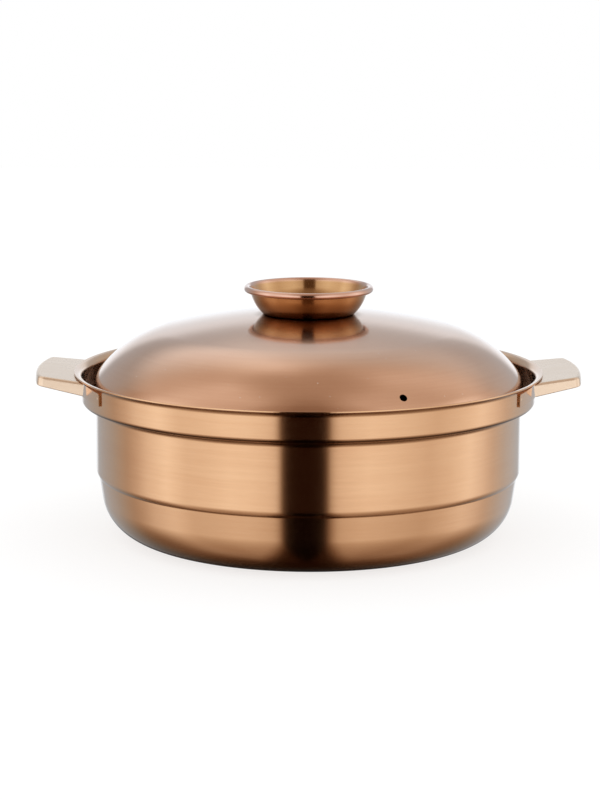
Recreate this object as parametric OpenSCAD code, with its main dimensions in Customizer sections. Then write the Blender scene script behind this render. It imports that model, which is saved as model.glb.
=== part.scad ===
// Shallow two-handled casserole pot with a seated dome lid and a cup-shaped knob.
// Millimetres, +Z up, origin at the middle of the base, handles along X.

/* [Pot] */
// Height of the pot from its base to the top of its lip
pot_h = 110.5; // [95:0.5:150]
// Outside radius of the middle wall
wall_r = 141.4; // [120:0.1:180]
// Thickness of the pot's sheet
pot_sheet = 1; // [0.7:0.1:1.4]
// Height at which the middle wall starts
wall_z = 45.6; // [38:0.1:55]
// Outside radius of the bend between base and lower wall
base_bend_r = 30.5; // [20:0.5:34]
// Outward lean of the lower wall from the vertical, in degrees
lower_lean = 8; // [2:0.5:12]
// Steepest slope of the lower step from the vertical, in degrees
step_turn = 42; // [30:1:70]
// Outside radius at the foot of the middle wall
step_corner_r = 6; // [2:0.5:8]
// Radius of the hollow under the lower step
step_fillet_r = 1.5; // [1:0.1:3]

/* [Band, ledge and lip] */
// Height of the wide upper band, from the underside of its ledge to the lip's top
band_h = 21.1; // [15:0.1:26]
// How far the band stands out from the middle wall
band_step = 9.3; // [8:0.1:14]
// Radius of the hollow under the ledge
ledge_fillet_r = 4; // [2:0.1:4.8]
// Outside radius at the foot of the band
band_corner_r = 3.5; // [1.6:0.1:4]
// Radius of the lip's curl on its underside
lip_curl_r = 3.6; // [2.5:0.1:4.5]
// Angle through which the lip curls outward, in degrees
lip_turn = 80; // [60:1:88]
// Straight edge of the lip past its curl
lip_edge = 1.6; // [0.5:0.1:3]

/* [Lid] */
// Thickness of the lid's sheet
lid_sheet = 0.8; // [0.5:0.1:1.2]
// Gap between the lid's flange and the band around it
lid_play = 2.6; // [2.4:0.1:3.4]
// Width of the flange that rests on the ledge, out from the dome's wall
flange_w = 3.9; // [3.5:0.1:5]
// Radius of the hollow between flange and dome
flange_fillet_r = 2.5; // [1.5:0.1:3]
// Height above the ledge at which the dome starts to turn in
dome_foot_h = 7; // [3.5:0.1:10]
// Outside radius of the dome's edge
knuckle_r = 21.6; // [14:0.1:30]
// Angle of the dome's edge, in degrees
knuckle_turn = 39.3; // [30:0.1:45]
// Outside radius of the dome's shoulder
shoulder_r = 78; // [60:1:90]
// Angle of the dome's shoulder, in degrees
shoulder_turn = 37.8; // [32:0.1:42]
// Radius of the flat seat pressed in the crown for the knob
seat_r = 31; // [20:0.5:36]
// Radius of the bend around that seat
seat_bend_r = 6; // [2:1:12]
// Diameter of the steam hole
vent_d = 5; // [3:0.5:7]
// Azimuth of the steam hole from +X, in degrees
vent_azimuth = -65.4; // [-90:0.1:-45]
// Slope of the lid's surface at the steam hole, in degrees
vent_slope = 48.5; // [30:0.5:75]

/* [Knob cup] */
// Thickness of the cup's sheet
cup_sheet = 0.8; // [0.5:0.1:1]
// Height of the cup from its floor to the top of its rolled rim
cup_h = 18.9; // [17:0.1:28]
// Outside radius of the rolled rim
cup_rim_r = 43; // [40:0.5:50]
// Radius of the rolled rim's bead
bead_r = 2.1; // [1.6:0.1:2.6]
// Angle through which the rim is rolled, in degrees
bead_turn = 275; // [180:5:285]
// Outside radius between the cup's floor and wall
cup_corner_r = 3; // [1.5:0.5:4]
// Outside radius of the cup's curved wall
cup_wall_r = 28; // [24:1:32]
// Slope of the wall where it leaves the floor's corner, in degrees
cup_low_slope = 44; // [40:1:58]
// Slope of the wall below the rim, in degrees
cup_top_slope = 72; // [66:1:76]

/* [Knob fixing] */
// Diameter of the screw through cup and lid
screw_d = 6; // [4:0.5:8]
// Length of the screw under its head
screw_l = 12; // [11:0.5:14]
// Diameter of the screw's head
head_d = 12; // [9:0.5:15]
// Height of the screw's head
head_h = 3.8; // [2.5:0.1:5]
// Width of the cross recess in the head
recess_w = 1.4; // [0.8:0.1:2]
// Length of the cross recess in the head
recess_l = 6.4; // [4:0.2:8]
// Depth of the cross recess in the head
recess_h = 2; // [1:0.1:2.4]
// Diameter of the flat washers
washer_d = 18; // [12:0.5:24]
// Thickness of the flat washers
washer_h = 1.2; // [0.8:0.1:2]
// Diameter of the split lock washer
lock_d = 11.4; // [9:0.2:14]
// Thickness of the split lock washer
lock_h = 1.6; // [1:0.1:2.2]
// Gap in the split lock washer
lock_gap = 1; // [0.5:0.1:2]
// Width of the cap nut across its flats
nut_flats = 10; // [9:0.5:14]
// Height of the cap nut's hexagon
nut_hex_h = 5; // [4:0.5:7]
// Overall height of the cap nut
nut_h = 12; // [10:0.5:16]
// Clear depth of the thread in the cap nut
nut_bore_h = 9; // [8:0.5:10]
// Clearance of the screw in each hole, on the radius
screw_play = 0.2; // [0.1:0.05:0.5]
// Clearance of the screw in the nut's thread, on the radius
thread_play = 0.05; // [0.02:0.01:0.1]

/* [Handles] */
// Thickness of the handles' sheet
handle_sheet = 1.1; // [0.8:0.1:1.4]
// How far each handle reaches out past the lip
handle_reach = 24.8; // [18:0.1:40]
// Width of each handle at the lip
handle_w = 86.8; // [60:0.1:100]
// Taper of each long side, in degrees
handle_taper = 10; // [0:0.5:14]
// Rise of the top plate towards its tip, in degrees
handle_rise = 6.8; // [0:0.1:8]
// Radius of the two tip corners, seen from above
tip_corner_r = 5.5; // [4:0.5:12]
// Outside radius of the fold between plate and skirt
fold_r = 2.2; // [1.6:0.1:3]
// Depth of the skirt below the plate at the lip
skirt_root_h = 8; // [6:0.1:14]
// Depth of the skirt below the plate at the tip
skirt_tip_h = 6; // [4:0.1:8]
// Gap between the skirt's ends and the welded apron
skirt_gap = 0.3; // [0.3:0.1:2]
// Radius of the bend from apron to plate
root_bend_r = 3.35; // [2.2:0.05:3.5]
// Height of the welded apron
apron_h = 8.1; // [6:0.1:10]
// Half angle that the apron and its ears wrap round the band, in degrees
ear_half_angle = 28.1; // [22:0.1:40]
// Gap between the lip's curl and the bend below it
lip_gap = 0.25; // [0.1:0.05:0.6]
// Gap left by the weld between apron and band
weld_gap = 0.05; // [0.02:0.01:0.2]

/* [Hidden] */
copper = [0.74, 0.52, 0.38];
steel = [0.75, 0.75, 0.77];
// Facets round the axis, and round small rings
turn_fn = 180;
arc_fn = 60;
// A bend is drawn in steps no wider than this angle, and no further off its arc than this
widest_turn = 15;
flatness = 0.05;
// Thickness of the thin slices that shape a rounded block
slice = 0.01;

// Pot: levels and radii that the other pieces share
band_r = wall_r + band_step;
band_inside_r = band_r - pot_sheet;
ledge_z = pot_h - band_h;
ledge_top_z = ledge_z + pot_sheet;
lip_curl_z = pot_h - (lip_curl_r + pot_sheet) * sin(lip_turn) - lip_edge * cos(lip_turn);
lip_r = band_r + lip_curl_r * (1 - cos(lip_turn)) + lip_edge * sin(lip_turn);
lip_under_z = lip_curl_z + lip_curl_r * sin(lip_turn) + lip_edge * cos(lip_turn);

// Pot: reach of the lower step and of the lower wall
step_w = step_corner_r * (1 - cos(step_turn)) + step_fillet_r * (cos(lower_lean) - cos(step_turn));
step_h = step_corner_r * sin(step_turn) + step_fillet_r * (sin(step_turn) - sin(lower_lean));
base_turn = 90 - lower_lean;
lower_wall_l = (wall_z - step_h - base_bend_r * (1 - cos(base_turn))) / sin(base_turn);
base_flat_r = wall_r - step_w - lower_wall_l * cos(base_turn) - base_bend_r * sin(base_turn);

// Lid: the crown is the arc that closes the dome on the axis
flange_r = band_inside_r - lid_play;
dome_r = flange_r - flange_w;
crown_slope = 90 - knuckle_turn - shoulder_turn;
shoulder_x = dome_r - knuckle_r - (shoulder_r - knuckle_r) * cos(knuckle_turn);
crown_r = shoulder_r + shoulder_x / sin(crown_slope);
seat_slope = asin(seat_r / crown_r);
knuckle_z = ledge_top_z + dome_foot_h;

// A profile is a list of moves along one face of the sheet: [length] runs straight,
// and [radius, angle] bends, to the left where the angle is positive.
function is_bend(move) = len(move) == 2;
function heading_after(moves, start, n) =
    n == 0 ? start : heading_after(moves, start, n - 1) + (is_bend(moves[n - 1]) ? moves[n - 1][1] : 0);
function along(angle) = [cos(angle), sin(angle)];
function left_of(angle) = [-sin(angle), cos(angle)];
function side(move) = move[1] > 0 ? 1 : -1;
function bend_centre(p, h, move) = p + side(move) * move[0] * left_of(h);
function point_after(moves, p, h, n) =
    n == 0 ? p :
    let (q = point_after(moves, p, h, n - 1), g = heading_after(moves, h, n - 1), m = moves[n - 1])
    is_bend(m) ? bend_centre(q, g, m) - side(m) * m[0] * left_of(g + m[1]) : q + m[0] * along(g);

// Steps of one move, and the points of its face, each with its heading, over those steps
function steps(move) =
    is_bend(move) ? ceil(abs(move[1]) / min(widest_turn, 2 * acos(1 - flatness / move[0]))) : 1;
function station(move, p, h, part) =
    is_bend(move)
    ? [bend_centre(p, h, move) - side(move) * move[0] * left_of(h + part * move[1]), h + part * move[1]]
    : [p + part * move[0] * along(h), h];
function stations(moves, start, h) = [
    [start, h],
    for (n = [0 : len(moves) - 1], k = [1 : steps(moves[n])])
        station(moves[n], point_after(moves, start, h, n), heading_after(moves, h, n), k / steps(moves[n]))];

lid_start = [flange_r, ledge_top_z + lid_sheet];
lid_moves = [
    [flange_w - flange_fillet_r],
    [flange_fillet_r, -90],
    [dome_foot_h - lid_sheet - flange_fillet_r],
    [knuckle_r, knuckle_turn],
    [shoulder_r, shoulder_turn],
    [crown_r, crown_slope - seat_slope],
    [seat_bend_r, seat_slope]];
lid_seat_edge = point_after(lid_moves, lid_start, 180, len(lid_moves));
seat_z = lid_seat_edge.y;

// Steam hole: the point of the knuckle or shoulder where the surface has the stated slope
vent_on_knuckle = vent_slope > 90 - knuckle_turn;
vent_arc_r = vent_on_knuckle ? knuckle_r : shoulder_r;
vent_centre = [
    vent_on_knuckle ? dome_r - knuckle_r : shoulder_x,
    knuckle_z - (vent_on_knuckle ? 0 : (shoulder_r - knuckle_r) * sin(knuckle_turn))];

// Knob: levels above the lid's seat
cup_z = seat_z;
cup_floor_top_z = cup_z + cup_sheet;
bead_in_r = bead_r - cup_sheet;
cup_wall_top_h = cup_h - bead_r + bead_in_r * cos(cup_top_slope);
cup_run_h = cup_wall_top_h - cup_corner_r * (1 - cos(cup_low_slope))
    - cup_wall_r * (cos(cup_low_slope) - cos(cup_top_slope));
cup_run_l = cup_run_h / sin(cup_top_slope);
cup_floor_r = cup_rim_r - bead_r - bead_in_r * sin(cup_top_slope) - cup_run_l * cos(cup_top_slope)
    - cup_wall_r * (sin(cup_top_slope) - sin(cup_low_slope)) - cup_corner_r * sin(cup_low_slope);

// Knob fixing: levels from the screw's head down to the nut
screw_r = screw_d / 2;
hole_r = screw_r + screw_play;
head_z = cup_floor_top_z + washer_h;
lid_inside_z = seat_z - lid_sheet;
lid_washer_z = lid_inside_z - washer_h;
lock_z = lid_washer_z - lock_h;
nut_hex_r = nut_flats / 2 / cos(30);
nut_dome_r = nut_flats / 2;

// Handles: the bend nests under the lip's curl, and the plate leaves it outwards
apron_r = band_r + weld_gap;
root_bend_x = apron_r + root_bend_r;
root_bend_z = lip_curl_z + lip_curl_r - root_bend_r - lip_gap;
plate_lift = lip_gap / 2;
plate_z = root_bend_z + root_bend_r + plate_lift;
tip_r = lip_r + handle_reach;
// Side line of the plate as its outward normal and its distance from the axis
side_normal = [sin(handle_taper), cos(handle_taper)];
side_reach = side_normal * [lip_r, handle_w / 2];
corner_ring_r = tip_r - tip_corner_r;
corner_azimuth = asin((side_reach - tip_corner_r) / corner_ring_r) - handle_taper;
corner_at = corner_ring_r * along(corner_azimuth);
corner_turn = 90 - handle_taper - corner_azimuth;
skirt_cut_r = apron_r + handle_sheet + skirt_gap;
// The plate starts where the bend ends; a short stub of the bend runs on inside it
root_stub = lip_r - root_bend_x;
plate_cut_z = root_bend_z + root_bend_r - handle_sheet - 2 * (plate_lift + lip_gap);
// Steps of each arc in the outline, and of the fold
outline_steps = 6;
fold_steps = 5;

// Section of a sheet that follows a list of moves, its metal on the left of the moves
module sheet_profile(moves, start, start_heading, sheet) {
    face = stations(moves, start, start_heading);
    last = len(face) - 1;
    polygon(concat(
        [for (at = face) at[0]],
        [for (n = [last : -1 : 0]) face[n][0] + sheet * left_of(face[n][1])]));
}

// Same section turned into a shell about the Z axis
module spun_sheet(moves, start, start_heading, sheet) {
    rotate_extrude($fn = turn_fn) sheet_profile(moves, start, start_heading, sheet);
}

module pot_shell() {
    moves = [
        [base_flat_r],
        [base_bend_r, base_turn],
        [lower_wall_l],
        [step_fillet_r, lower_lean - step_turn],
        [step_corner_r, step_turn],
        [ledge_z - ledge_fillet_r - wall_z],
        [ledge_fillet_r, -90],
        [band_step - ledge_fillet_r - band_corner_r],
        [band_corner_r, 90],
        [lip_curl_z - ledge_z - band_corner_r],
        [lip_curl_r, -lip_turn],
        [lip_edge]];
    color(copper) spun_sheet(moves, [0, 0], 0, pot_sheet);
}

module lid_shell() {
    moves = concat(lid_moves, [[lid_seat_edge.x]]);
    vent_at = vent_centre + vent_arc_r * along(90 - vent_slope);
    color(copper) difference() {
        spun_sheet(moves, lid_start, 180, lid_sheet);
        translate([0, 0, seat_z - 2 * lid_sheet]) cylinder(r = hole_r, h = 3 * lid_sheet, $fn = arc_fn);
        rotate([0, 0, vent_azimuth]) translate([vent_at.x, 0, vent_at.y]) rotate([0, vent_slope, 0])
            cylinder(d = vent_d, h = 6 * lid_sheet, center = true, $fn = arc_fn);
    }
}

module knob_cup() {
    moves = [
        [cup_floor_r],
        [cup_corner_r, cup_low_slope],
        [cup_wall_r, cup_top_slope - cup_low_slope],
        [cup_run_l],
        [bead_in_r, -bead_turn]];
    color(copper) difference() {
        spun_sheet(moves, [0, cup_z], 0, cup_sheet);
        translate([0, 0, cup_z - cup_sheet]) cylinder(r = hole_r, h = 3 * cup_sheet, $fn = arc_fn);
    }
}

// Pan head with a cross recess, and a plain shank that stands for the thread
module knob_screw() {
    head_r = head_d / 2;
    color(steel) {
        difference() {
            intersection() {
                translate([0, 0, head_z]) cylinder(r = head_r, h = head_h, $fn = arc_fn);
                translate([0, 0, head_z + head_h - head_d]) sphere(r = head_d, $fn = turn_fn);
            }
            for (turn = [0, 90])
                rotate([0, 0, turn]) translate([0, 0, head_z + head_h]) cube([recess_l, recess_w, 2 * recess_h], center = true);
        }
        translate([0, 0, head_z - screw_l]) cylinder(r = screw_r, h = screw_l, $fn = arc_fn);
    }
}

// Flat ring round the screw
module ring(d, h) {
    difference() {
        cylinder(d = d, h = h, $fn = arc_fn);
        translate([0, 0, -h]) cylinder(r = hole_r, h = 3 * h, $fn = arc_fn);
    }
}

module cup_washer() {
    color(steel) translate([0, 0, cup_floor_top_z]) ring(washer_d, washer_h);
}

module lid_washer() {
    color(steel) translate([0, 0, lid_washer_z]) ring(washer_d, washer_h);
}

module lock_washer() {
    color(steel) translate([0, 0, lock_z]) difference() {
        ring(lock_d, lock_h);
        translate([0, -lock_gap / 2, -lock_h]) cube([lock_d, lock_gap, 3 * lock_h]);
    }
}

// Hexagon with a domed cap below it and a blind thread from above
module cap_nut() {
    color(steel) translate([0, 0, lock_z]) mirror([0, 0, 1]) difference() {
        union() {
            cylinder(r = nut_hex_r, h = nut_hex_h, $fn = 6);
            cylinder(r = nut_dome_r, h = nut_h - nut_dome_r, $fn = arc_fn);
            translate([0, 0, nut_h - nut_dome_r]) sphere(r = nut_dome_r, $fn = arc_fn);
        }
        translate([0, 0, -nut_hex_h]) cylinder(r = screw_r + thread_play, h = nut_hex_h + nut_bore_h, $fn = arc_fn);
    }
}

// Half of the handle's outline seen from above, the given distance inside its edge
function half_outline(inset, root_x) = [
    [root_x, (side_reach - inset - root_x * sin(handle_taper)) / cos(handle_taper)],
    for (k = [0 : outline_steps])
        corner_at + (tip_corner_r - inset) * along(90 - handle_taper - corner_turn * k / outline_steps),
    for (k = [1 : outline_steps]) (tip_r - inset) * along(corner_azimuth * (1 - k / outline_steps))];
function outline(inset, root_x) =
    let (half = half_outline(inset, root_x))
    concat(half, [for (n = [len(half) - 2 : -1 : 0]) [half[n].x, -half[n].y]]);

// Deep block of that outline with its top at z = 0 and the top's edge rounded
module rounded_block(inset, edge_r, root_x, depth) {
    hull() {
        translate([0, 0, -depth]) linear_extrude(height = slice) polygon(outline(inset, root_x));
        for (k = [0 : fold_steps])
            translate([0, 0, -edge_r * (1 - sin(90 * k / fold_steps)) - slice]) linear_extrude(height = slice)
                polygon(outline(inset + edge_r * (1 - cos(90 * k / fold_steps)), root_x));
    }
}

// Plate with its folds and skirts, the plate's top at z = 0, open below and at the root
module channel() {
    depth = 2 * skirt_root_h;
    intersection() {
        difference() {
            rounded_block(0, fold_r, wall_r, depth);
            translate([0, 0, -handle_sheet])
                rounded_block(handle_sheet, fold_r - handle_sheet, wall_r - fold_r, depth);
        }
        rotate([90, 0, 0]) linear_extrude(height = 2 * handle_w, center = true) skirt_side_view();
    }
}

// Side view of the room that the channel fills, deeper at the lip than at the tip
module skirt_side_view() {
    slope = (skirt_root_h - skirt_tip_h) / handle_reach;
    x_in = wall_r - fold_r;
    x_out = tip_r + fold_r;
    polygon([[x_in, fold_r], [x_out, fold_r], [x_out, -skirt_root_h + slope * (x_out - lip_r)],
        [x_in, -skirt_root_h + slope * (x_in - lip_r)]]);
}

// Apron with its two ears, and the bend above it that nests under the lip's curl
module root() {
    moves = [[root_stub], [root_bend_r, 90], [apron_h]];
    difference() {
        rotate([0, 0, -ear_half_angle]) rotate_extrude(angle = 2 * ear_half_angle, $fn = turn_fn)
            sheet_profile(moves, [root_bend_x + root_stub, root_bend_z + root_bend_r], 180, handle_sheet);
        for (way = [0, 1]) mirror([0, way, 0]) rotate([0, 0, -handle_taper])
            translate([0, side_reach - fold_r, root_bend_z]) cube(lip_r);
    }
}

// One-piece stamping: root, plate, folds and skirts
module handle() {
    root();
    difference() {
        translate([root_bend_x, 0, plate_z]) rotate([0, -handle_rise, 0]) translate([-root_bend_x, 0, 0]) channel();
        cylinder(r = skirt_cut_r, h = 2 * pot_h, $fn = turn_fn);
        translate([0, 0, plate_cut_z]) cylinder(r = root_bend_x, h = pot_h, $fn = turn_fn);
    }
}

module handle_right() {
    color(copper) handle();
}

module handle_left() {
    color(copper) rotate([0, 0, 180]) handle();
}

pot_shell();
handle_left();
handle_right();
lid_shell();
knob_cup();
knob_screw();
cup_washer();
lid_washer();
lock_washer();
cap_nut();
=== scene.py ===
"""Looks of the shallow copper-coloured casserole: smooth sheet-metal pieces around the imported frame.

Sizes are in millimetres and degrees, as a sheet-metal drawing has them, and the meshes are made in metres.
Slopes are measured from the horizontal. X runs along the handles, the front is -Y, and the base stands on
Z = 0.
"""
import math

import bpy
from mathutils import Euler, Matrix, Vector


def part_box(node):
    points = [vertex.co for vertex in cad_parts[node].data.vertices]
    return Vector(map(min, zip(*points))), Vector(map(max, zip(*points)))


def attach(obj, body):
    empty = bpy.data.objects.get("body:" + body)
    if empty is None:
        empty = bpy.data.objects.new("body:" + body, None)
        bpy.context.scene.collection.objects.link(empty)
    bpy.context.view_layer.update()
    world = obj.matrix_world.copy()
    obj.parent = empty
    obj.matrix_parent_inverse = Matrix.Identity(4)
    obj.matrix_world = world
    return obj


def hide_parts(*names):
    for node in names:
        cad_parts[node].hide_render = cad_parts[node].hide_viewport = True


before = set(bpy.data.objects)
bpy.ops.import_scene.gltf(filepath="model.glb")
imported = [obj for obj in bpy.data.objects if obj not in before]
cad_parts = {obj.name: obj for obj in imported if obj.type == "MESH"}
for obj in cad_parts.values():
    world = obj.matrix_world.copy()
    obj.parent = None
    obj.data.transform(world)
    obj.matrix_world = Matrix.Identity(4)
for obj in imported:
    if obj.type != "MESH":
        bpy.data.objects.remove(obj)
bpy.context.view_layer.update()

MM = 0.001


# ---------------------------------------------------------------- sizes, from the frame where it gives them
def box_mm(node):
    low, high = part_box(node)
    return low / MM, high / MM


_, pot_high = box_mm("pot_shell")
lid_low, lid_high = box_mm("lid_shell")
cup_low, cup_high = box_mm("knob_cup")

# Sheets
POT_SHEET = 1.0
LID_SHEET = 0.8
CUP_SHEET = 0.8
HANDLE_SHEET = 1.1

# Pot: base, leaning lower wall, step, wall, ledge, band and curled lip
LIP_R = pot_high.x
POT_H = pot_high.z
WALL_R = 141.4
WALL_Z = 45.6
BASE_BEND_R = 30.5
LOWER_LEAN = 8
STEP_TURN = 42
STEP_CORNER_R = 6
STEP_FILLET_R = 1.5
BAND_H = 21.1
BAND_STEP = 9.3
LEDGE_FILLET_R = 4
BAND_CORNER_R = 3.5
LIP_CURL_R = 3.6
LIP_TURN = 80
LIP_EDGE = 1.6

# Lid: flange, upright foot, knuckle, shoulder, crown and flat seat for the knob
FLANGE_R = lid_high.x
FLANGE_W = 3.9
FLANGE_FILLET_R = 2.5
DOME_FOOT_H = 7
KNUCKLE_R = 21.6
KNUCKLE_TURN = 39.3
SHOULDER_R = 78
SHOULDER_TURN = 37.8
SEAT_R = 31
SEAT_BEND_R = 6
VENT_D = 5
VENT_AZIMUTH = -65.4
VENT_SLOPE = 48.5
VENT_CUT_L = 6 * LID_SHEET
HOLE_R = 3.2

# Knob cup: floor, curved wall and rolled bead
CUP_H = cup_high.z - cup_low.z
CUP_RIM_R = cup_high.x
BEAD_R = 2.1
BEAD_TURN = 275
CUP_CORNER_R = 3
CUP_WALL_R = 28
CUP_LOW_SLOPE = 44
CUP_TOP_SLOPE = 72

# Handles: channel with folded skirts, and a root that bends down into an apron with two ears
HANDLE_REACH = 24.8
TIP_R = LIP_R + HANDLE_REACH
HANDLE_W = 86.8
HANDLE_TAPER = 10
HANDLE_RISE = 6.8
TIP_CORNER_R = 5.5
FOLD_R = 2.2
SKIRT_ROOT_H = 8
SKIRT_TIP_H = 6
SKIRT_GAP = 0.3
ROOT_BEND_R = 3.35
APRON_H = 8.1
EAR_HALF_ANGLE = 28.1
EAR_CORNER_R = 1.3
EAR_TOP_BEND = 38
LIP_GAP = 0.25
WELD_GAP = 0.05

# Spot welds: centre from the ear's end and from the top of the apron, with rings as (share of the radius,
# height)
WELD_R = 1.0
WELD_FROM_END = 0.9
WELD_BELOW_TOP = 3.4
WELD_RINGS = ((0.0, 0.14), (0.4, 0.12), (0.7, 0.06), (1.0, -0.03))

# Fineness of the meshes
EDGE_R = 0.2
EDGE_ANGLES = (22, 45, 68, 90)
MERGE_DIGITS = 5
PUNCH_DIGITS = 6
SAME_SIDE_COS = 0.8
ANGLE_SLACK = 1e-6
RING_STEPS = 256
CUP_RING_STEPS = 192
DOME_ARC_STEP = 1.5
ROOT_ARC_STEP = 9
ROOT_STRAIGHT_STEP = 2.5
VENT_STEPS = 48
WELD_STEPS = 24
SIDE_STEPS, CORNER_STEPS, TIP_STEPS, ACROSS_STEPS = 10, 12, 12, 12
FOLD_STEPS, SKIRT_STEPS = 8, 4
SKIRT_EDGE_ANGLES = (88, 70, 50, 30, 15)
EAR_STEPS, EAR_CORNER_STEPS, BEND_STEPS = 8, 6, 32


# ---------------------------------------------------------------- sheet-metal profiles
def sin(a):
    return math.sin(math.radians(a))


def cos(a):
    return math.cos(math.radians(a))


def along(a):
    return Vector((cos(a), sin(a)))


def left_of(a):
    return Vector((-sin(a), cos(a)))


# Headings in a section: outward from the Z axis, in towards it, and down
OUTWARD, INWARD, DOWN = 0, 180, 270


def walk(moves, start, heading, arc_step=3.0, straight_step=8.0):
    """Points with headings along one face of a sheet.

    A move of [length] runs straight. A move of [radius, angle] bends, to the left where the angle is
    positive.
    """
    p = Vector(start)
    stops = [(p.copy(), heading)]
    for move in moves:
        if len(move) == 1:
            n = max(1, math.ceil(move[0] / straight_step))
            for k in range(1, n + 1):
                stops.append((p + move[0] * k / n * along(heading), heading))
            p = p + move[0] * along(heading)
        else:
            r, turn = move
            side = 1 if turn > 0 else -1
            centre = p + side * r * left_of(heading)
            n = max(2, math.ceil(abs(turn) / arc_step))
            for k in range(1, n + 1):
                h = heading + turn * k / n
                stops.append((centre - side * r * left_of(h), h))
            p, heading = stops[-1][0].copy(), stops[-1][1]
    return stops


def two_faces(stops, sheet, start_r=0.0, end_r=0.0):
    """Both faces of a sheet at each stop, as (outer, inner, outer normal, inner normal).

    The metal is on the left of the path. start_r and end_r round the corners of a cut edge, which then ends
    that far past the path.
    """
    rows = [(p, p + sheet * left_of(h), -left_of(h), left_of(h)) for p, h in stops]
    for r, (p, h), way in ((start_r, stops[0], -1), (end_r, stops[-1], 1)):
        cap = []
        for b in EDGE_ANGLES if r else ():
            out = -left_of(h) * cos(b) + way * along(h) * sin(b)
            back = left_of(h) * cos(b) + way * along(h) * sin(b)
            cap.append((p + r * (left_of(h) + out), p + (sheet - r) * left_of(h) + r * back, out, back))
        rows = rows + cap if way > 0 else cap[::-1] + rows
    return rows


def add_to_scene(name, data):
    thing = bpy.data.objects.new(name, data)
    bpy.context.scene.collection.objects.link(thing)
    return thing


def solid_sheet(name, outer, inner, outer_n, inner_n, closed=False, open_end=False, edge_slot=0):
    """Closed mesh of a sheet given as two grids of points [j][k] in millimetres, with its own smooth normals.

    closed joins the last j to the first, open_end leaves the last j without a wall, and the cut edges take
    edge_slot.
    """
    nj, nk = len(outer), len(outer[0])
    cells_j = nj if closed else nj - 1
    verts, index, faces, normals, cut = [], {}, [], [], []

    def vert(p):
        key = tuple(round(c, MERGE_DIGITS) for c in p)
        if key not in index:
            index[key] = len(verts)
            verts.append(tuple(c * MM for c in p))
        return index[key]

    def face(points, point_normals):
        ids = [vert(p) for p in points]
        keep = [n for n in range(len(ids)) if ids[n] != ids[n - 1]]
        if len({ids[n] for n in keep}) < 3:
            return
        faces.append([ids[n] for n in keep])
        cut.append(point_normals is None)
        if point_normals is None:
            a, b, c = (Vector(points[n]) for n in keep[:3])
            flat = (b - a).cross(c - b).normalized()
            normals.extend([flat] * len(keep))
        else:
            normals.extend(Vector(point_normals[n]).normalized() for n in keep)

    def has(j, k):
        return (closed or 0 <= j < cells_j) and 0 <= k < nk - 1

    for j in range(cells_j):
        j2 = (j + 1) % nj
        for k in range(nk - 1):
            ring = [(j, k), (j2, k), (j2, k + 1), (j, k + 1)]
            face([outer[a][b] for a, b in ring], [outer_n[a][b] for a, b in ring])
            ring = ring[::-1]
            face([inner[a][b] for a, b in ring], [inner_n[a][b] for a, b in ring])
            edges = [((j2, k), (j, k), (j, k - 1)), ((j, k + 1), (j2, k + 1), (j, k + 1))]
            edges += [((j, k), (j, k + 1), (j - 1, k)), ((j2, k + 1), (j2, k), (j + 1, k))]
            for a, b, beyond in edges:
                if has(*beyond) or (open_end and beyond[0] == cells_j):
                    continue
                face([outer[a[0]][a[1]], outer[b[0]][b[1]], inner[b[0]][b[1]], inner[a[0]][a[1]]], None)
    mesh = bpy.data.meshes.new(name)
    mesh.from_pydata(verts, [], faces)
    mesh.update()
    for polygon in mesh.polygons:
        polygon.use_smooth = True
        polygon.material_index = edge_slot if cut[polygon.index] else 0
    mesh.normals_split_custom_set(normals)
    return add_to_scene(name, mesh)


def lathe(name, rows, steps=RING_STEPS):
    """Turns a sheet's section, given as rows of two_faces, about the Z axis."""
    grids = ([], [], [], [])
    for j in range(steps):
        c, s = cos(360 * j / steps), sin(360 * j / steps)
        for n, grid in enumerate(grids):
            grid.append([(row[n].x * c, row[n].x * s, row[n].y) for row in rows])
    return solid_sheet(name, *grids, closed=True)


# ---------------------------------------------------------------- materials
COPPER = (0.85, 0.505, 0.275)
COPPER_DEEP = (0.81, 0.46, 0.24)
LID_COPPER = (0.82, 0.48, 0.30)
LID_COPPER_DEEP = (0.78, 0.44, 0.27)
CUP_COPPER = (0.70, 0.40, 0.17)
CUP_COPPER_DEEP = (0.64, 0.35, 0.14)
BEAD_COPPER = (0.84, 0.5, 0.37)
# Colour of painted shade in hollows, gaps and under faces that turn down
SHADE_COLOUR = (0.16, 0.07, 0.025)
SATIN = (0.97, 0.77, 0.59)
SATIN_DEEP = (0.95, 0.73, 0.54)
# Raw cut edges, darkened with painted shade and a painted copper-on-copper reflection
SHADED_EDGE_COPPER = (0.5, 0.22, 0.08)
STEEL = (0.62, 0.62, 0.63)
STEEL_DEEP = (0.55, 0.55, 0.56)
DUST = (0.85, 0.78, 0.7)

COAT_ROUGHNESS = 0.07
BUMP_DEPTH = 0.01 * MM
# Brush marks: how much they are drawn out along X, and in metres the small ring on which those round Z are
# looked up
BRUSH_STRETCH = 0.05
BRUSH_RING_R = 0.004
BROAD_MARKS = 0.12
# Blotches of tone and of roughness, per metre
CLOUD_SCALE = 22.0
SMUDGE_SCALE = 9.0
# Pits: cells per metre, then sizes as shares of a cell
PIT_SCALE = 95.0
PIT_SIZES = 0.045
PIT_LEAST = 0.022
PIT_RIM = 0.012
PIT_TONE = 0.35
PIT_DEPTH = 2.0
# Dust: cells per metre, the size of a speck's middle and rim, and the chance above which a cell has one
DUST_SCALE = 420.0
DUST_SIZE = (0.08, 0.18)
DUST_CHANCE = (0.86, 0.9)


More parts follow.
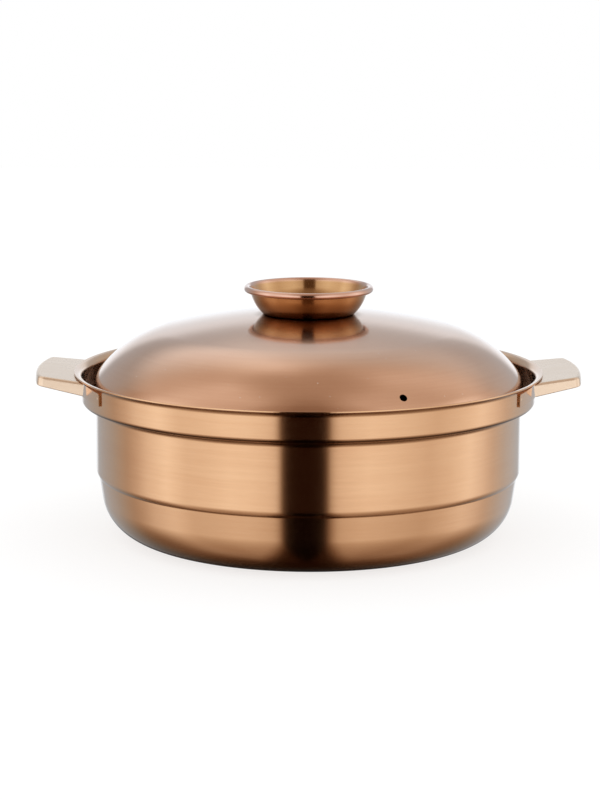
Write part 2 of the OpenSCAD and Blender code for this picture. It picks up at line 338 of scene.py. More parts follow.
class Nodes:
    """Short calls for building a node tree."""

    def __init__(self, tree):
        self.tree = tree
        tree.nodes.clear()

    def add(self, kind, **settings):
        node = self.tree.nodes.new(kind)
        for key, value in settings.items():
            setattr(node, key, value)
        return node

    def put(self, value, socket):
        """Links a node's output to the socket, or sets the socket to a plain value."""
        if isinstance(value, bpy.types.NodeSocket):
            self.tree.links.new(value, socket)
        else:
            socket.default_value = value

    def math(self, operation, *values):
        node = self.add("ShaderNodeMath", operation=operation)
        for n, value in enumerate(values):
            self.put(value, node.inputs[n])
        return node.outputs[0]

    def vector(self, operation, *values):
        node = self.add("ShaderNodeVectorMath", operation=operation)
        for n, value in enumerate(values):
            self.put(value, node.inputs[n])
        return node.outputs["Value" if operation == "LENGTH" else "Vector"]

    def parts(self, vector):
        node = self.add("ShaderNodeSeparateXYZ")
        self.put(vector, node.inputs[0])
        return node.outputs

    def step(self, value, low, high, to_low=0.0, to_high=1.0):
        """Eases from to_low to to_high while the value goes from low to high; low may be the larger."""
        node = self.add("ShaderNodeMapRange", interpolation_type="SMOOTHSTEP")
        for n, v in enumerate((value, low, high, to_low, to_high)):
            self.put(v, node.inputs[n])
        return node.outputs[0]

    def noise(self, vector, scale, detail, roughness):
        node = self.add("ShaderNodeTexNoise", noise_dimensions="3D")
        self.put(vector, node.inputs["Vector"])
        self.put(scale, node.inputs["Scale"])
        self.put(detail, node.inputs["Detail"])
        self.put(roughness, node.inputs["Roughness"])
        return node.outputs["Fac"]

    def mix(self, factor, a, b):
        """Colour a at factor 0 and b at 1."""
        node = self.add("ShaderNodeMix", data_type="RGBA")
        self.put(factor, node.inputs["Factor"])
        for value, socket in ((a, node.inputs[6]), (b, node.inputs[7])):
            self.put((*value, 1.0) if isinstance(value, tuple) else value, socket)
        return node.outputs[2]

    def blend(self, factor, a, b):
        """Number a at factor 0 and b at 1."""
        node = self.add("ShaderNodeMix", data_type="FLOAT")
        for value, n in ((factor, 0), (a, 2), (b, 3)):
            self.put(value, node.inputs[n])
        return node.outputs[0]

    def ramp(self, factor, stops):
        """Grey level by the factor, through stops of (factor, level)."""
        node = self.add("ShaderNodeValToRGB")
        self.put(factor, node.inputs[0])
        points = node.color_ramp.elements
        while len(points) > 1:
            points.remove(points[-1])
        for n, (at, value) in enumerate(stops):
            point = points[0] if n == 0 else points.new(at)
            point.position = at
            point.color = (value, value, value, 1.0)
        return node.outputs[0]


def brush_coordinate(t, place, flat, radius, height, run_sign):
    """Where a brush mark is looked up: along the profile where marks run round the Z axis, else along X."""
    if not run_sign:
        return t.vector("MULTIPLY", place, (BRUSH_STRETCH, 1.0, 1.0))
    across = t.add("ShaderNodeCombineXYZ")
    t.put(t.math("MULTIPLY_ADD", height, float(run_sign), radius), across.inputs[2])
    return t.vector("MULTIPLY_ADD", t.vector("NORMALIZE", flat), (BRUSH_RING_R, BRUSH_RING_R, 0.0),
                    across.outputs[0])


def cells(t, place, scale):
    """Random cells: the distance from each cell's middle and the cell's own random colour."""
    node = t.add("ShaderNodeTexVoronoi", feature="F1")
    t.put(place, node.inputs["Vector"])
    t.put(scale, node.inputs["Scale"])
    return node.outputs["Distance"], node.outputs["Color"]


def pits_at(t, place):
    """1 inside a small pit and 0 outside; most cells have none."""
    distance, chance = cells(t, place, PIT_SCALE)
    reach = t.math("SUBTRACT", t.math("MULTIPLY", chance, PIT_SIZES), PIT_LEAST)
    return t.step(t.math("SUBTRACT", distance, reach), 0.0, PIT_RIM, 1.0, 0.0)


def dust_at(t, place, strength):
    """Up to strength on a speck of dust and 0 outside; most cells have none."""
    distance, chance = cells(t, place, DUST_SCALE)
    speck = t.math("MULTIPLY", t.step(distance, *DUST_SIZE, 1.0, 0.0), t.step(chance, *DUST_CHANCE))
    return t.math("MULTIPLY", speck, strength)


def metal(name, light, deep, roughness, spread, anisotropy=0.0, run_sign=0, line_mm=0.35, bump=0.2, dust=0.0,
          coat=1.0, painted_shade=(), tints=()):
    """Brushed metal under a clear coat, between two tones.

    Its roughness lies between roughness - spread and roughness + spread. run_sign is +1 or -1 where the
    brush marks run round the Z axis: how height adds to radius along the profile. line_mm is the width of a
    brush mark. Each painted shade is a strength with one or more (measure, from, to): painted shade darkens
    the colour and takes off the coat between two heights ("z") or two radii ("r") in millimetres, or as its
    face turns down ("down", 0 to 1), and where there are several, only where all do. Each tint is a colour
    with limits of the same kind.
    """
    material = bpy.data.materials.new(name)
    material.use_nodes = True
    t = Nodes(material.node_tree)
    shader = t.add("ShaderNodeBsdfPrincipled")
    t.put(shader.outputs[0], t.add("ShaderNodeOutputMaterial").inputs[0])
    shader.inputs["Metallic"].default_value = 1.0
    shader.inputs["Coat Roughness"].default_value = COAT_ROUGHNESS

    place = t.add("ShaderNodeTexCoord").outputs["Object"]
    height = t.parts(place)[2]
    flat = t.vector("MULTIPLY", place, (1.0, 1.0, 0.0))
    radius = t.vector("LENGTH", flat)
    lines_at = brush_coordinate(t, place, flat, radius, height, run_sign)
    fine = t.noise(lines_at, 1.0 / (line_mm * MM), 3.0, 0.6)
    broad = t.noise(lines_at, BROAD_MARKS / (line_mm * MM), 2.0, 0.5)
    cloud = t.noise(place, CLOUD_SCALE, 3.0, 0.55)
    smudge = t.noise(place, SMUDGE_SCALE, 2.0, 0.5)
    grain = t.math("MULTIPLY_ADD", broad, 0.5, t.math("MULTIPLY", fine, 0.5))
    tone = t.math("MULTIPLY_ADD", cloud, 0.4, t.math("MULTIPLY", grain, 0.6))
    colour = t.mix(t.step(tone, 0.35, 0.65), light, deep)
    polish = t.math("MULTIPLY_ADD", smudge, 0.45, t.math("MULTIPLY", grain, 0.55))
    t.put(t.step(polish, 0.3, 0.7, roughness - spread, roughness + spread), shader.inputs["Roughness"])

    facing_up = t.parts(t.add("ShaderNodeTexCoord").outputs["Normal"])[2]
    measures = {"z": t.math("DIVIDE", height, MM), "r": t.math("DIVIDE", radius, MM),
                "down": t.math("MULTIPLY", facing_up, -1.0)}

    def within(strength, limits):
        for measure, start, end in limits:
            strength = t.math("MULTIPLY", strength, t.step(measures[measure], start, end))
        return strength

    for tint, *limits in tints:
        colour = t.mix(within(1.0, limits), colour, tint)
    # Painted shade: darkens the colour towards the shade colour and thins the clear coat where it lies
    deepest_shade = 0.0
    for strength, *limits in painted_shade:
        shade = within(strength, limits)
        colour = t.mix(shade, colour, SHADE_COLOUR)
        deepest_shade = t.math("MAXIMUM", deepest_shade, shade)
    t.put(t.math("MULTIPLY", t.math("SUBTRACT", 1.0, deepest_shade), coat) if painted_shade else coat,
          shader.inputs["Coat Weight"])

    pit = pits_at(t, place)
    colour = t.mix(pit, colour, tuple(PIT_TONE * c for c in deep))
    if dust:
        speck = dust_at(t, place, dust)
        colour = t.mix(speck, colour, DUST)
        t.put(t.math("SUBTRACT", 1.0, speck), shader.inputs["Metallic"])
    t.put(colour, shader.inputs["Base Color"])

    lift = t.add("ShaderNodeBump")
    lift.inputs["Strength"].default_value = bump
    lift.inputs["Distance"].default_value = BUMP_DEPTH
    t.put(t.math("SUBTRACT", grain, t.math("MULTIPLY", pit, PIT_DEPTH)), lift.inputs["Height"])
    t.put(lift.outputs[0], shader.inputs["Normal"])
    if anisotropy:
        shader.inputs["Anisotropic"].default_value = anisotropy
        shader.inputs["Anisotropic Rotation"].default_value = 0.25
        t.put(t.add("ShaderNodeTangent", direction_type="RADIAL", axis="Z").outputs[0],
              shader.inputs["Tangent"])
    return material


band_r = WALL_R + BAND_STEP
ledge_z = POT_H - BAND_H
mid_band_r = band_r - POT_SHEET / 2
# Painted shade on the pot: inside the band, where the wall turns out to the ledge, and under the lip
pot_metal = metal(
    "brushed_copper_pot", COPPER, COPPER_DEEP, roughness=0.19, spread=0.02, anisotropy=0.93, run_sign=1,
    painted_shade=((0.8, ("r", mid_band_r + 0.3, mid_band_r), ("z", ledge_z, ledge_z + 2),
             ("z", POT_H - 2, POT_H - 6)),
            (0.7, ("down", 0.0, 0.7), ("z", WALL_Z, WALL_Z + 20), ("z", POT_H - 6, POT_H - 9)),
            (0.45, ("down", 0.0, 0.7), ("z", POT_H - 9, POT_H - 6))))
# Painted shade on an ear, where it turns up to the plate
ear_metal = metal(
    "brushed_copper_ear", COPPER, COPPER_DEEP, roughness=0.19, spread=0.02, anisotropy=0.9, run_sign=1,
    painted_shade=((0.7, ("down", -0.05, -0.5)),))
# Painted shade on the lid: round the knob's seat, where the cup stands, and on the foot
lid_metal = metal(
    "brushed_copper_lid", LID_COPPER, LID_COPPER_DEEP, roughness=0.18, spread=0.02, anisotropy=0.7,
    run_sign=-1, bump=0.12, dust=0.7,
    painted_shade=((0.8, ("r", SEAT_R + 7, SEAT_R - 1)), (0.8, ("z", lid_low.z + 11, lid_low.z + 2))))
# Painted shade on the cup: where its wall turns down and at its floor; the bead is pinker than the rest
bead_in, bead_low = CUP_RIM_R - 2 * BEAD_R, cup_high.z - 2 * BEAD_R
cup_metal = metal(
    "brushed_copper_cup", CUP_COPPER, CUP_COPPER_DEEP, roughness=0.18, spread=0.02, anisotropy=0.75,
    run_sign=1, line_mm=0.25, bump=0.12,
    painted_shade=((0.6, ("down", 0.0, 0.55)), (0.8, ("z", cup_low.z + 12, cup_low.z + 1))),
    tints=((BEAD_COPPER, ("r", bead_in - 0.4, bead_in + 0.4), ("z", bead_low - 0.4, bead_low)),))
handle_metal = metal("satin_copper", SATIN, SATIN_DEEP, roughness=0.3, spread=0.04, line_mm=0.3, coat=0.5)
# Cut edges: raw metal, whose dark, saturated colour is painted shade and painted reflection of the lip
shaded_edge_metal = metal(
    "cut_edge_copper_painted_shade", SHADED_EDGE_COPPER, COPPER_DEEP, roughness=0.45, spread=0.05, line_mm=0.3, coat=0.0)
weld_metal = metal("weld_tint", SATIN, COPPER_DEEP, roughness=0.3, spread=0.06, line_mm=0.5)
steel_metal = metal("bright_steel", STEEL, STEEL_DEEP, roughness=0.22, spread=0.05, line_mm=0.3, coat=0.0)


def dress(piece, body, *nodes, materials=()):
    """Finishes a visible piece: its materials, the body it moves with and the CAD nodes it replaces."""
    for material in materials:
        piece.data.materials.append(material)
    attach(piece, body)
    if nodes:
        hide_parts(*nodes)


# ---------------------------------------------------------------- pot
lip_curl_z = POT_H - (LIP_CURL_R + POT_SHEET) * sin(LIP_TURN) - LIP_EDGE * cos(LIP_TURN)
step_w = STEP_CORNER_R * (1 - cos(STEP_TURN)) + STEP_FILLET_R * (cos(LOWER_LEAN) - cos(STEP_TURN))
step_h = STEP_CORNER_R * sin(STEP_TURN) + STEP_FILLET_R * (sin(STEP_TURN) - sin(LOWER_LEAN))
base_turn = 90 - LOWER_LEAN
lower_wall_l = (WALL_Z - step_h - BASE_BEND_R * (1 - cos(base_turn))) / sin(base_turn)
base_flat_r = WALL_R - step_w - lower_wall_l * cos(base_turn) - BASE_BEND_R * sin(base_turn)

pot_path = walk([
    [base_flat_r],
    [BASE_BEND_R, base_turn],
    [lower_wall_l],
    [STEP_FILLET_R, LOWER_LEAN - STEP_TURN],
    [STEP_CORNER_R, STEP_TURN],
    [ledge_z - LEDGE_FILLET_R - WALL_Z],
    [LEDGE_FILLET_R, -90],
    [BAND_STEP - LEDGE_FILLET_R - BAND_CORNER_R],
    [BAND_CORNER_R, 90],
    [lip_curl_z - ledge_z - BAND_CORNER_R],
    [LIP_CURL_R, -LIP_TURN],
    [LIP_EDGE - EDGE_R]], (0, 0), OUTWARD)
pot = lathe("pot_skin", two_faces(pot_path, POT_SHEET, end_r=EDGE_R))
dress(pot, "pot", "pot_shell", materials=[pot_metal])

# ---------------------------------------------------------------- lid
ledge_top_z = lid_low.z
dome_r = FLANGE_R - FLANGE_W
crown_slope = 90 - KNUCKLE_TURN - SHOULDER_TURN
shoulder_x = dome_r - KNUCKLE_R - (SHOULDER_R - KNUCKLE_R) * cos(KNUCKLE_TURN)
crown_r = SHOULDER_R + shoulder_x / sin(crown_slope)
seat_slope = math.degrees(math.asin(SEAT_R / crown_r))
knuckle_z = ledge_top_z + DOME_FOOT_H
dome_path = walk([
    [FLANGE_W - FLANGE_FILLET_R - EDGE_R],
    [FLANGE_FILLET_R, -90],
    [DOME_FOOT_H - LID_SHEET - FLANGE_FILLET_R],
    [KNUCKLE_R, KNUCKLE_TURN],
    [SHOULDER_R, SHOULDER_TURN],
    [crown_r, crown_slope - seat_slope],
    [SEAT_BEND_R, seat_slope]], (FLANGE_R - EDGE_R, ledge_top_z + LID_SHEET), INWARD, arc_step=DOME_ARC_STEP)
seat_edge, _ = dome_path[-1]
lid_path = dome_path + walk([[seat_edge.x - HOLE_R]], seat_edge, INWARD)[1:]
lid = lathe("lid_skin", two_faces(lid_path, LID_SHEET, start_r=EDGE_R))


def rod(centre, direction, radius, length, steps):
    """A plain cylinder about the point and along the direction, to cut with."""
    ring = [Vector((radius * cos(360 * k / steps), radius * sin(360 * k / steps), 0)) for k in range(steps)]
    verts = [p + Vector((0, 0, z)) for z in (-length / 2, length / 2) for p in ring]
    faces = [[k, (k + 1) % steps, steps + (k + 1) % steps, steps + k] for k in range(steps)]
    faces += [list(range(steps))[::-1], list(range(steps, 2 * steps))]
    mesh = bpy.data.meshes.new("cutter")
    mesh.from_pydata([tuple(v) for v in verts], [], faces)
    mesh.transform(Matrix.Translation(centre) @ direction.to_track_quat("Z", "Y").to_matrix().to_4x4())
    return add_to_scene("cutter", mesh)


def punch(piece, centre, direction, radius, length, surface_normal):
    """Cuts a round hole; the sheet keeps its own normals and the hole's wall is plain."""
    def key(at):
        return tuple(round(c, PUNCH_DIGITS) for c in at)

    own = {}
    for loop in piece.data.loops:
        at = piece.data.vertices[loop.vertex_index].co
        own.setdefault(key(at), []).append(Vector(loop.normal))
    cutter = rod(centre, direction, radius, length, VENT_STEPS)
    cut = piece.modifiers.new("hole", "BOOLEAN")
    cut.object = cutter
    cut.operation = "DIFFERENCE"
    cut.solver = "EXACT"
    mesh = bpy.data.meshes.new_from_object(piece.evaluated_get(bpy.context.evaluated_depsgraph_get()))
    piece.modifiers.clear()
    piece.data = mesh
    bpy.data.objects.remove(cutter)
    normals = []
    for polygon in mesh.polygons:
        polygon.use_smooth = True
        for vertex in polygon.vertices:
            at = mesh.vertices[vertex].co
            choices = own.get(key(at))
            if not choices:
                on_surface = surface_normal(at)
                choices = [on_surface, -on_surface]
            best = max(choices, key=polygon.normal.dot)
            near = best.dot(polygon.normal) > SAME_SIDE_COS
            normals.append(best if near else Vector(polygon.normal))
    mesh.normals_split_custom_set(normals)


vent_centre = Vector((shoulder_x, knuckle_z - (SHOULDER_R - KNUCKLE_R) * sin(KNUCKLE_TURN)))
vent_at = vent_centre + SHOULDER_R * along(90 - VENT_SLOPE)
turn_to_vent = Matrix.Rotation(math.radians(VENT_AZIMUTH), 3, "Z")
vent_direction = turn_to_vent @ Vector((sin(VENT_SLOPE), 0, cos(VENT_SLOPE)))
vent_place = turn_to_vent @ Vector((vent_at.x, 0, vent_at.y)) * MM


def shoulder_normal(at):
    """Outward normal of the lid's shoulder at a point in metres."""
    radial = Vector((at.x, at.y, 0))
    foot = radial.normalized() * vent_centre.x * MM + Vector((0, 0, vent_centre.y * MM))
    return (at - foot).normalized()


punch(lid, vent_place, vent_direction, VENT_D / 2 * MM, VENT_CUT_L * MM, shoulder_normal)
dress(lid, "lid", "lid_shell", materials=[lid_metal])

# ---------------------------------------------------------------- knob cup
bead_in_r = BEAD_R - CUP_SHEET
cup_wall_top_h = CUP_H - BEAD_R + bead_in_r * cos(CUP_TOP_SLOPE)
cup_run_h = (cup_wall_top_h - CUP_CORNER_R * (1 - cos(CUP_LOW_SLOPE))
             - CUP_WALL_R * (cos(CUP_LOW_SLOPE) - cos(CUP_TOP_SLOPE)))
cup_run_l = cup_run_h / sin(CUP_TOP_SLOPE)
cup_floor_r = (CUP_RIM_R - BEAD_R - bead_in_r * sin(CUP_TOP_SLOPE) - cup_run_l * cos(CUP_TOP_SLOPE)
               - CUP_WALL_R * (sin(CUP_TOP_SLOPE) - sin(CUP_LOW_SLOPE)) - CUP_CORNER_R * sin(CUP_LOW_SLOPE))
cup_path = walk([
    [cup_floor_r - HOLE_R],
    [CUP_CORNER_R, CUP_LOW_SLOPE],
    [CUP_WALL_R, CUP_TOP_SLOPE - CUP_LOW_SLOPE],
    [cup_run_l],
    [bead_in_r, -BEAD_TURN]], (HOLE_R, cup_low.z), OUTWARD)
cup = lathe("knob_cup_skin", two_faces(cup_path, CUP_SHEET), CUP_RING_STEPS)
dress(cup, "lid", "knob_cup", materials=[cup_metal])

# ---------------------------------------------------------------- handles
apron_r = band_r + WELD_GAP
root_bend_x = apron_r + ROOT_BEND_R
root_bend_z = lip_curl_z + LIP_CURL_R - ROOT_BEND_R - LIP_GAP
plate_z = root_bend_z + ROOT_BEND_R + LIP_GAP / 2
side_normal = Vector((sin(HANDLE_TAPER), cos(HANDLE_TAPER)))
side_reach = side_normal.dot(Vector((LIP_R, HANDLE_W / 2)))
corner_ring_r = TIP_R - TIP_CORNER_R
corner_azimuth = math.degrees(math.asin((side_reach - TIP_CORNER_R) / corner_ring_r)) - HANDLE_TAPER
corner_at = corner_ring_r * along(corner_azimuth)
bend_half_angle = math.degrees(math.asin((side_reach - FOLD_R) / root_bend_x)) - HANDLE_TAPER
skirt_cut_r = apron_r + HANDLE_SHEET + SKIRT_GAP
skirt_slope = (SKIRT_ROOT_H - SKIRT_TIP_H) / (TIP_R - LIP_R)


def fold_section(depth):
    """Half section of the channel from the skirt's lower edge to the plate.

    Each row has the outer and the inner face's (inset, height, outward part and upward part of the normal).
    """
    half = HANDLE_SHEET / 2
    in_r = FOLD_R - HANDLE_SHEET
    rows = []
    for b in SKIRT_EDGE_ANGLES:
        z = -depth + half * (1 - sin(b))
        rows.append(((half * (1 - cos(b)), z, cos(b), -sin(b)), (half * (1 + cos(b)), z, -cos(b), -sin(b))))
    for k in range(SKIRT_STEPS + 1):
        z = -depth + half + (depth - half - FOLD_R) * k / SKIRT_STEPS
        rows.append(((0, z, 1, 0), (HANDLE_SHEET, z, -1, 0)))
    for k in range(1, FOLD_STEPS + 1):
        a = 90 * k / FOLD_STEPS
        rows.append(((FOLD_R * (1 - cos(a)), -FOLD_R * (1 - sin(a)), cos(a), sin(a)),
                     (FOLD_R - in_r * cos(a), -FOLD_R + in_r * sin(a), -cos(a), -sin(a))))
    return rows


def half_stations():
    """Edge of the plan from root to tip on one side, as (point, outward angle).

    The straight side's points are None here, since they depend on the inset; root_point gives where they
    start.
    """
    tangent = corner_at + TIP_CORNER_R * side_normal
    out = [(None, 90 - HANDLE_TAPER)] * SIDE_STEPS
    out.append((tangent, 90 - HANDLE_TAPER))
    turn = 90 - HANDLE_TAPER - corner_azimuth
    for k in range(1, CORNER_STEPS + 1):
        a = 90 - HANDLE_TAPER - turn * k / CORNER_STEPS
        out.append((corner_at + TIP_CORNER_R * along(a), a))
    for k in range(1, TIP_STEPS + 1):
        a = corner_azimuth * (1 - k / TIP_STEPS)
        out.append((TIP_R * along(a), a))
    return out


def root_point(inset):
    """Where the channel starts on the side line at that inset: at the skirt's cut, easing out to the bend."""
    reach = skirt_cut_r + (root_bend_x - skirt_cut_r) * min(1.0, inset / FOLD_R)
    d = side_reach - inset
    run = math.sqrt(reach * reach - d * d)
    return d * side_normal + run * Vector((cos(HANDLE_TAPER), -sin(HANDLE_TAPER)))


def channel_grids():
    """The channel's faces and normals before it is tilted: from root to tip, and across side to side."""
    stations = half_stations()
    tangent = stations[SIDE_STEPS][0]
    grids = ([], [], [], [])
    for s, (edge, angle) in enumerate(stations):
        normal = along(angle)
        columns = ([], [])
        depth_x = (edge or root_point(0) + (tangent - root_point(0)) * s / SIDE_STEPS).x
        depth = SKIRT_ROOT_H - skirt_slope * (depth_x - LIP_R)
        for pair in fold_section(depth):
            for face, (inset, z, out, up) in enumerate(pair):
                if edge is None:
                    a, b = root_point(inset), tangent - inset * normal
                    p = a + (b - a) * s / SIDE_STEPS
                else:
                    p = edge - inset * normal
                columns[face].append(((p.x, p.y, z), (normal.x * out, normal.y * out, up)))
        half_columns = [list(c) for c in columns]
        for face, z, up in ((0, 0, 1), (1, -HANDLE_SHEET, -1)):
            x_edge, y_edge = half_columns[face][-1][0][:2]
            for k in range(1, ACROSS_STEPS):
                y = y_edge * (1 - 2 * k / ACROSS_STEPS)
                x = x_edge
                if edge is None:
                    at_root = math.sqrt(root_bend_x ** 2 - y ** 2)
                    x = at_root + ((tangent - FOLD_R * normal).x - at_root) * s / SIDE_STEPS
                columns[face].append(((x, y, z), (0, 0, up)))
            for (px, py, pz), (nx, ny, nz) in reversed(half_columns[face]):
                columns[face].append(((px, -py, pz), (nx, -ny, nz)))
        grids[0].append([c[0] for c in columns[0]])
        grids[1].append([c[0] for c in columns[1]])
        grids[2].append([c[1] for c in columns[0]])
        grids[3].append([c[1] for c in columns[1]])
    return grids


def on_plate(p, is_normal=False):
    """Tilts a point or a normal of the flat-lying channel about the root's bend."""
    c, s = cos(HANDLE_RISE), sin(HANDLE_RISE)
    if is_normal:
        return (p[0] * c - p[2] * s, p[1], p[0] * s + p[2] * c)
    x = p[0] - root_bend_x
    return (root_bend_x + x * c - p[2] * s, p[1], plate_z + x * s + p[2] * c)


def turned(grid, half_turn):
    return [[(-p[0], -p[1], p[2]) for p in row] for row in grid] if half_turn else grid


def join(name, pieces):
    with bpy.context.temp_override(active_object=pieces[0], selected_editable_objects=pieces):
        bpy.ops.object.join()
    pieces[0].name = name
    return pieces[0]


root_path = walk([[LIP_R - root_bend_x], [ROOT_BEND_R, 90], [APRON_H - EDGE_R]],
                 (LIP_R, root_bend_z + ROOT_BEND_R), INWARD, ROOT_ARC_STEP, ROOT_STRAIGHT_STEP)
root_rows = two_faces(root_path, HANDLE_SHEET, end_r=EDGE_R)
# Stops along an ear from its end, as lengths, and then all stops of the root as angles about the Z axis
ear_run = math.radians(EAR_HALF_ANGLE - bend_half_angle) * apron_r
ear_stops = [EAR_CORNER_R * (1 - cos(90 * k / EAR_CORNER_STEPS)) for k in range(EAR_CORNER_STEPS + 1)]
ear_stops += [EAR_CORNER_R + (ear_run - EDGE_R - EAR_CORNER_R) * k / EAR_STEPS
              for k in range(1, EAR_STEPS + 1)]
ear_angles = [EAR_HALF_ANGLE - math.degrees(d / apron_r) for d in ear_stops]
azimuths = [-a for a in ear_angles]
azimuths += [bend_half_angle * (2 * k / BEND_STEPS - 1) for k in range(BEND_STEPS + 1)]
azimuths += ear_angles[::-1]


def ear_top(from_end):
    """Heading and row of the section where an ear's sloping upper edge cuts it.

    That is on the bend near the plate, and at the top of the apron at the ear's end.
    """
    h = DOWN - EAR_TOP_BEND * from_end / ear_run
    p = Vector((root_bend_x, root_bend_z)) - ROOT_BEND_R * left_of(h)
    return h, (p, p + HANDLE_SHEET * left_of(h), -left_of(h), left_of(h))


def root_grids():
    """The root's faces and normals: round the pot from ear to ear, and down the section."""
    grids = ([], [], [], [])
    foot = root_rows[-1][0].y
    headings = [h for _, h in root_path] + [DOWN] * (len(root_rows) - len(root_path))
    for a in azimuths:
        from_end = math.radians(EAR_HALF_ANGLE - abs(a)) * apron_r
        on_ear = abs(a) > bend_half_angle + ANGLE_SLACK
        top_h, top_row = ear_top(from_end) if on_ear else (INWARD, None)
        drop = 0.0
        if from_end < EAR_CORNER_R:
            drop = EAR_CORNER_R - math.sqrt(max(0.0, EAR_CORNER_R ** 2 - (EAR_CORNER_R - from_end) ** 2))
        rows = [top_row if h < top_h else row for row, h in zip(root_rows, headings)]
        for n, grid in enumerate(grids):
            column = []
            for row in rows:
                up = row[n].y
                if n < 2:
                    up -= drop * max(0.0, (up - foot) / (root_bend_z - foot))
                column.append((row[n].x * cos(a), row[n].x * sin(a), up))
            grid.append(column)
    return grids


outside, inside, outside_n, inside_n = channel_grids()
outside, inside = ([[on_plate(p) for p in row] for row in grid] for grid in (outside, inside))
outside_n, inside_n = ([[on_plate(p, True) for p in row] for row in grid] for grid in (outside_n, inside_n))
# The channel runs the other way round than solid_sheet expects, so its faces are swapped
channel_sheet = (inside, outside, inside_n, outside_n)
root_sheet = root_grids()
for name, half_turn in (("handle_right", False), ("handle_left", True)):
    channel = solid_sheet(name + "_channel", *(turned(grid, half_turn) for grid in channel_sheet),
                          open_end=True)
    root = solid_sheet(name + "_root", *(turned(grid, half_turn) for grid in root_sheet), edge_slot=1)
    channel.data.materials.append(handle_metal)
    root.data.materials.append(ear_metal)
    root.data.materials.append(shaded_edge_metal)
    dress(join(name + "_skin", [channel, root]), "pot", name)

# ---------------------------------------------------------------- spot welds on the ears
def weld_mesh(azimuth, height):
    """A flat bump on the outer face of an apron, centred at that angle and height."""
    verts, faces = [], []
    for share, rise in WELD_RINGS:
        for k in range(WELD_STEPS if share else 1):
            across = share * WELD_R * cos(360 * k / WELD_STEPS)
            up = share * WELD_R * sin(360 * k / WELD_STEPS)
            a = azimuth + math.degrees(across / apron_r)
            r = apron_r + HANDLE_SHEET + rise
            verts.append(((r * cos(a)) * MM, (r * sin(a)) * MM, (height + up) * MM))
    for k in range(WELD_STEPS):
        k2 = (k + 1) % WELD_STEPS
        faces.append([0, 1 + k, 1 + k2])
        for ring in range(1, len(WELD_RINGS) - 1):
            a, b = 1 + (ring - 1) * WELD_STEPS, 1 + ring * WELD_STEPS
            faces.append([a + k, b + k, b + k2, a + k2])
    mesh = bpy.data.meshes.new("weld")
    mesh.from_pydata(verts, [], faces)
    for polygon in mesh.polygons:
        polygon.use_smooth = True
    return mesh


for n, (facing, side) in enumerate(((0, -1), (0, 1), (180, -1), (180, 1))):
    mesh = weld_mesh(facing + side * (EAR_HALF_ANGLE - WELD_FROM_END), root_bend_z - WELD_BELOW_TOP)
    dress(add_to_scene(f"spot_weld_{n + 1}", mesh), "pot", materials=[weld_metal])

# ---------------------------------------------------------------- fasteners: the CAD nodes, finished
for name in ("knob_screw", "cup_washer", "lid_washer", "lock_washer", "cap_nut"):
    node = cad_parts[name]
    node.data.materials.clear()
    node.data.materials.append(steel_metal)

# ---------------------------------------------------------------- floor: white to the camera, with a shadow
FLOOR_HALF = 3.0
FLOOR_Z = -0.0002
FLOOR_SHADE = 0.3
FLOOR_GLOW = 0.75
corners = ((-1, -1), (1, -1), (1, 1), (-1, 1))
floor_mesh = bpy.data.meshes.new("floor")
floor_mesh.from_pydata([(x * FLOOR_HALF, y * FLOOR_HALF, FLOOR_Z) for x, y in corners], [], [[0, 1, 2, 3]])
floor = add_to_scene("floor", floor_mesh)
floor_material = bpy.data.materials.new("white_floor")
floor_material.use_nodes = True
t = Nodes(floor_material.node_tree)
diffuse = t.add("ShaderNodeBsdfDiffuse")
diffuse.inputs[0].default_value = (FLOOR_SHADE, FLOOR_SHADE, FLOOR_SHADE, 1)
emission = t.add("ShaderNodeEmission")
seen = t.add("ShaderNodeLightPath").outputs["Is Camera Ray"]
t.put(t.math("MULTIPLY", seen, FLOOR_GLOW), emission.inputs["Strength"])
both = t.add("ShaderNodeAddShader")
t.put(diffuse.outputs[0], both.inputs[0])
t.put(emission.outputs[0], both.inputs[1])
t.put(both.outputs[0], t.add("ShaderNodeOutputMaterial").inputs[0])
floor_mesh.materials.append(floor_material)
floor.visible_glossy = False

# ---------------------------------------------------------------- world: the studio that the metal reflects
# Brightness by compass angle as (degrees, level): 0 is straight ahead of the front, and positive angles are
# on the right.
# The low one has the dark strip of the studio's front in its middle, and the high one is seen in the lid.
LOW_LEVELS = (
    (-180, 0.5), (-165, 0.42), (-130, 0.42), (-114, 0.48), (-104, 0.66), (-96, 0.88), (-81, 1.1),
    (-68, 0.9), (-55, 0.96), (-43, 1.06), (-32, 1.04), (-21, 0.94), (-16, 0.84), (-14, 0.06), (-11, 0.02),
    (7, 0.02), (9.4, 0.06), (11.2, 0.7), (14, 0.86), (20, 0.94), (31, 1.04), (42, 0.98), (54, 0.88),
    (67, 0.78), (80, 0.88), (95, 1.05), (106, 0.88), (116, 0.66), (129, 0.54), (155, 0.46), (180, 0.5))
HIGH_LEVELS = (
    (-180, 0.7), (-168, 0.9), (-158, 0.88), (-145, 0.74), (-130, 0.62), (-112, 0.66), (-100, 0.8),
    (-88, 0.82), (-65, 0.76), (-45, 0.66), (-28, 0.45), (-10, 0.3), (10, 0.3), (28, 0.5), (47, 0.7),
    (90, 0.62), (102, 0.66), (116, 0.74), (125, 0.74), (133, 0.66), (150, 0.6), (165, 0.58), (180, 0.7))
# Share of that brightness by height, from straight down at 0 to straight up at 1
HEIGHT_LEVELS = (
    (0.0, 0.28), (0.025, 0.33), (0.045, 0.36), (0.11, 0.42), (0.18, 0.5), (0.27, 0.76), (0.35, 1.0),
    (1.0, 1.0))
ZENITH_LEVEL = 0.47
STRIP_SHIFT = 0.018
DARKEST = 0.93

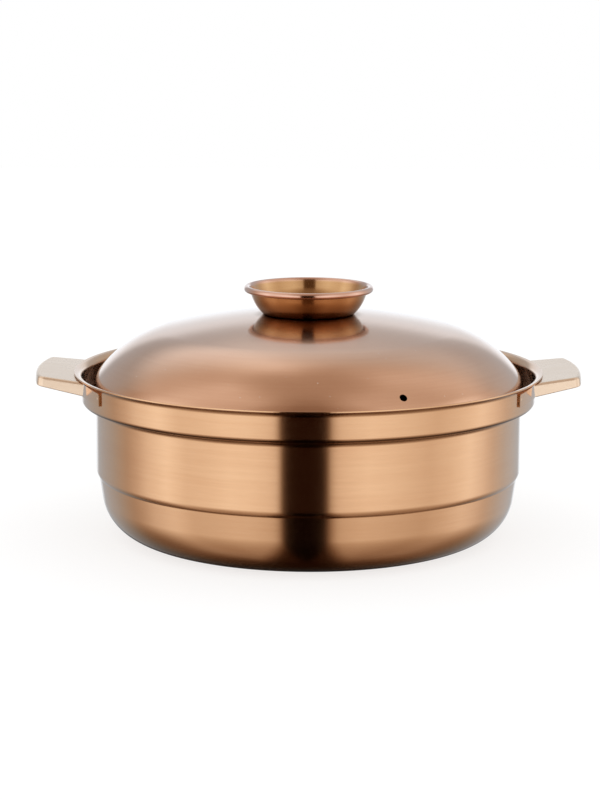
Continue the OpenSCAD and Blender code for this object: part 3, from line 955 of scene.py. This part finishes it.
world = bpy.data.worlds.new("studio")
bpy.context.scene.world = world
world.use_nodes = True
world.cycles.sampling_method = "NONE"
t = Nodes(world.node_tree)
dx, dy, dz = t.parts(t.add("ShaderNodeTexCoord").outputs["Generated"])
compass = t.math("ARCTAN2", dx, t.math("MULTIPLY", dy, -1.0))
share = t.math("MULTIPLY_ADD", compass, 1 / (2 * math.pi), 0.5)
low, high = (t.ramp(share, [(0.5 + a / 360, value) for a, value in levels])
             for levels in (LOW_LEVELS, HIGH_LEVELS))
level = t.blend(t.step(dz, 0.4, 0.64), low, high)
level = t.blend(t.step(dz, 0.9, 1.0), level, ZENITH_LEVEL)
# White wall straight behind the object
level = t.blend(t.math("MULTIPLY", t.step(dy, 0.9, 0.96), t.step(dz, 0.24, 0.4, 1.0, 0.0)), level,
                t.step(dz, 0.0, 0.18, 1.0, 0.8))
level = t.math("MULTIPLY", level, t.ramp(t.math("MULTIPLY_ADD", dz, 0.5, 0.5), HEIGHT_LEVELS))
# Dark under the object at the back, and in front below the strip
aside = t.math("ABSOLUTE", t.math("ADD", dx, STRIP_SHIFT))
under = t.math("MULTIPLY", t.math("MULTIPLY", t.step(dy, -0.2, 0.2), t.step(dz, -0.35, -0.75)),
               t.step(aside, 0.2, 0.5, 0.85, 0.3))
below = t.math("MULTIPLY", t.step(aside, 0.29, 0.13), t.step(dz, -0.15, -0.4))
level = t.math("MULTIPLY", level, t.math("MULTIPLY_ADD", t.math("MAXIMUM", under, below), -DARKEST, 1.0))
# The light turns warm where it is dim, except at the back, where it is slightly cool
warm = t.step(dy, 0.3, 0.7, 1.0, 0.0)
tinted = t.add("ShaderNodeCombineColor")
t.put(level, tinted.inputs[0])
for channel, power, warm_change, cool_share in ((1, 0.27, -0.05, 1.05), (2, 0.5, -0.1, 1.1)):
    dimmed = t.math("POWER", level, t.math("MULTIPLY_ADD", warm, power, 1.0))
    t.put(t.math("MULTIPLY", dimmed, t.math("MULTIPLY_ADD", warm, warm_change, cool_share)),
          tinted.inputs[channel])
path = t.add("ShaderNodeLightPath")
plain = t.math("MAXIMUM", path.outputs["Is Camera Ray"], path.outputs["Is Diffuse Ray"])
background = t.add("ShaderNodeBackground")
t.put(t.mix(plain, tinted.outputs[0], (1.0, 1.0, 1.0)), background.inputs["Color"])
t.put(background.outputs[0], t.add("ShaderNodeOutputWorld").inputs[0])

# ---------------------------------------------------------------- camera, from the ellipses of lip and base
FOCAL_PX = 2235.7
IMAGE_LONG_PX = 800
SENSOR_MM = 36.0
CAMERA_BACK = 1.4682
CAMERA_UP = 0.2509 + POT_H * MM
CAMERA_LEFT = 0.0055
CAMERA_PITCH = 10.514
CAMERA_TURN = -0.45
CAMERA_ROLL = 0.2
camera_data = bpy.data.cameras.new("camera")
camera_data.sensor_width = SENSOR_MM
camera_data.lens = FOCAL_PX / IMAGE_LONG_PX * SENSOR_MM
camera = add_to_scene("camera", camera_data)
turn = Matrix.Rotation(math.radians(CAMERA_TURN), 4, "Z")
aim = Euler((math.radians(90 - CAMERA_PITCH), 0, 0)).to_matrix().to_4x4()
roll = Matrix.Rotation(math.radians(CAMERA_ROLL), 4, "Z")
camera.matrix_world = turn @ Matrix.Translation((-CAMERA_LEFT, -CAMERA_BACK, CAMERA_UP)) @ aim @ roll
bpy.context.scene.camera = camera
bpy.context.scene.view_settings.view_transform = "Standard"
